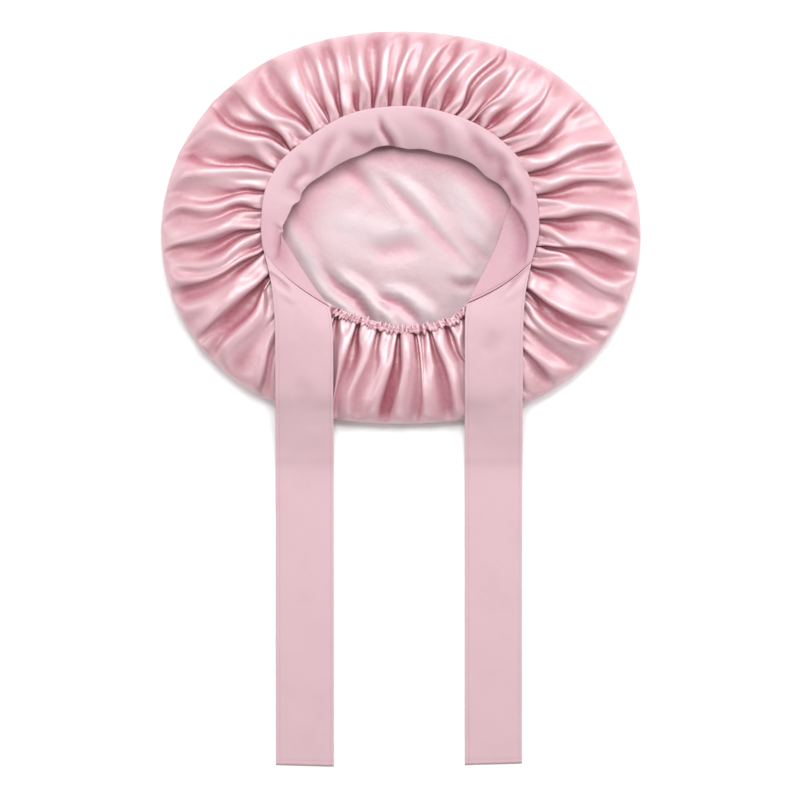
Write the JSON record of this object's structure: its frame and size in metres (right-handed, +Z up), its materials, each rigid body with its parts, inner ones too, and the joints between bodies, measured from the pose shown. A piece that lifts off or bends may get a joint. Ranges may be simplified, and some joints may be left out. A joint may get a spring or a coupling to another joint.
{
  "type": "sleep bonnet",
  "caption": "Satin sleep bonnet lying flat and open: gathered crown, wide brow band, elastic casing at the nape and long side ties",
  "frame": {"origin": "on the surface it lies on, under the middle of the crown", "axes": "+Y towards the brow, the ties run towards -Y, +X is the wearer's left with the opening up, +Z up out of the opening"},
  "size_m": [0.3594, 0.5511, 0.0291],
  "materials": {
    "crown_satin": "glossy pink satin, gathered",
    "band_satin": "pink satin, folded double, soft sheen",
    "casing_satin": "pink satin puckered by elastic",
    "tie_satin": "pink satin, pressed flat, soft sheen"
  },
  "bodies": {
    "root": {"crown": "crown_satin", "brow_band": "band_satin", "nape_casing": "casing_satin", "left_tie": "tie_satin", "right_tie": "tie_satin"}
  },
  "joints": []
}
